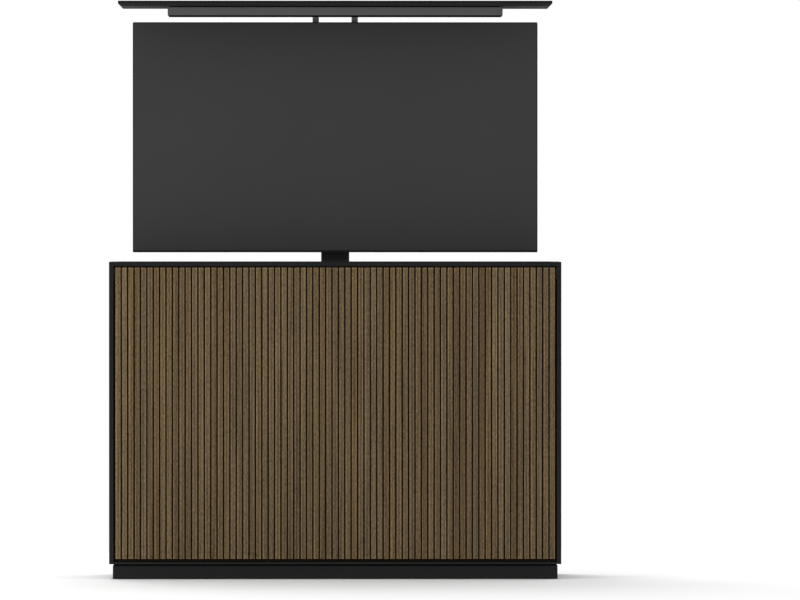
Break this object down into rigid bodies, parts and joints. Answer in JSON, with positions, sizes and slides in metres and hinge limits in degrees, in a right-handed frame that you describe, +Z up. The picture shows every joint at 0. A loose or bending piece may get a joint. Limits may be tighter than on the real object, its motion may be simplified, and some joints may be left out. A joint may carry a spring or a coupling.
{
  "type": "tv lift cabinet",
  "caption": "Low, wide cabinet with slatted doors; its lid and a flat screen rise from it on a motor-driven telescopic column.",
  "frame": {"origin": "on the floor under the middle of the cabinet", "axes": "+Z up, the doors face -Y, +X to the right of someone who faces the doors"},
  "size_m": [1.62, 0.45, 2.073],
  "materials": {
    "black_lacquer": "satin black lacquer on board",
    "black_melamine": "matt black melamine on board",
    "brown_oak": "matt grey-brown stained oak veneer with vertical grain",
    "foot_rubber": "black rubber",
    "bright_steel": "ground steel",
    "grey_plastic": "grey moulded plastic",
    "black_plastic": "fine-textured black plastic",
    "black_steel": "black powder coat",
    "grey_steel": "dark grey powder coat",
    "cast_alloy": "as cast",
    "screen_glass": "dark anti-glare screen"
  },
  "bodies": {
    "cabinet": {"back_panel_left": "black_melamine", "back_panel_right": "black_melamine", "bottom_panel": "black_lacquer", "cable_grommet": "black_plastic", "column_outer": "black_steel", "control_box": "black_plastic", "divider_panel": "black_melamine", "drive_motor": "black_steel", "foot_front_left": "foot_rubber", "foot_front_right": "foot_rubber", "foot_rear_left": "foot_rubber", "foot_rear_right": "foot_rubber", "gearbox_housing": "cast_alloy", "latch_housing_center": "grey_plastic", "latch_housing_left": "grey_plastic", "latch_housing_right": "grey_plastic", "lift_base_plate": "black_steel", "partition_left": "black_melamine", "partition_right": "black_melamine", "pivot_bottom_center": "bright_steel", "pivot_bottom_left": "bright_steel", "pivot_bottom_right": "bright_steel", "pivot_top_center": "bright_steel", "pivot_top_left": "bright_steel", "pivot_top_right": "bright_steel", "plinth_front": "black_lacquer", "plinth_left": "black_lacquer", "plinth_rear": "black_lacquer", "plinth_right": "black_lacquer", "power_inlet": "black_plastic", "rear_mullion": "black_melamine", "shelf_center": "black_melamine", "shelf_left": "black_melamine", "shelf_right": "black_melamine", "side_panel_left": "black_lacquer", "side_panel_right": "black_lacquer", "storage_deck": "black_melamine", "top_rail_front": "black_lacquer", "top_rail_left": "black_lacquer", "top_rail_rear": "black_lacquer", "top_rail_right": "black_lacquer"},
    "door_left": {"door_left": "brown_oak"},
    "door_center": {"door_center": "brown_oak"},
    "door_right": {"door_right": "brown_oak"},
    "plunger_left": {"latch_plunger_left": "grey_plastic"},
    "plunger_center": {"latch_plunger_center": "grey_plastic"},
    "plunger_right": {"latch_plunger_right": "grey_plastic"},
    "middle_stage": {"column_middle": "black_steel"},
    "lift_head": {"column_inner": "black_steel", "tv_mount_plate": "black_steel", "tv_arm_left": "black_steel", "tv_arm_right": "black_steel", "lid_post_left": "grey_steel", "lid_post_right": "grey_steel", "tv_housing": "black_plastic", "tv_screen": "screen_glass", "under_lid_tray": "grey_steel", "lid": "black_lacquer"},
    "lower_screw": {"screw_inner": "bright_steel"},
    "upper_screw": {"screw_outer": "bright_steel"}
  },
  "joints": [
    {"name": "tv_lift", "type": "slide", "parent": "cabinet", "child": "lift_head", "axis": [0, 0, 1], "range_m": [-0.936, 0]},
    {"name": "middle_stage_slide", "type": "slide", "parent": "cabinet", "child": "middle_stage", "axis": [0, 0, 1], "range_m": [-0.468, 0]},
    {"name": "lower_screw_spin", "type": "hinge", "parent": "cabinet", "child": "lower_screw", "pos_m": [0, 0.14, 0.42], "axis": [0, 0, 1], "continuous": true},
    {"name": "upper_screw_spin", "type": "hinge", "parent": "middle_stage", "child": "upper_screw", "pos_m": [0, 0.14, 0.92], "axis": [0, 0, 1], "continuous": true},
    {"name": "door_left_hinge", "type": "hinge", "parent": "cabinet", "child": "door_left", "pos_m": [-0.769, -0.2105, 0.59], "axis": [0, 0, -1], "range_deg": [0, 95]},
    {"name": "door_center_hinge", "type": "hinge", "parent": "cabinet", "child": "door_center", "pos_m": [-0.2394, -0.2105, 0.59], "axis": [0, 0, -1], "range_deg": [0, 95]},
    {"name": "door_right_hinge", "type": "hinge", "parent": "cabinet", "child": "door_right", "pos_m": [0.769, -0.2105, 0.59], "axis": [0, 0, 1], "range_deg": [0, 95]},
    {"name": "latch_left_push", "type": "slide", "parent": "cabinet", "child": "plunger_left", "axis": [0, -1, 0], "range_m": [0, 0.008]},
    {"name": "latch_center_push", "type": "slide", "parent": "cabinet", "child": "plunger_center", "axis": [0, -1, 0], "range_m": [0, 0.008]},
    {"name": "latch_right_push", "type": "slide", "parent": "cabinet", "child": "plunger_right", "axis": [0, -1, 0], "range_m": [0, 0.008]}
  ],
  "couplings": [
    {"joint": "middle_stage_slide", "follows": "tv_lift", "ratio": 0.5},
    {"joint": "lower_screw_spin", "follows": "tv_lift", "rad_per_m": -261.8},
    {"joint": "upper_screw_spin", "follows": "tv_lift", "rad_per_m": -261.8},
    {"joint": "latch_left_push", "follows": "door_left_hinge", "m_per_rad": 0.0048},
    {"joint": "latch_center_push", "follows": "door_center_hinge", "m_per_rad": 0.0048},
    {"joint": "latch_right_push", "follows": "door_right_hinge", "m_per_rad": 0.0048}
  ]
}
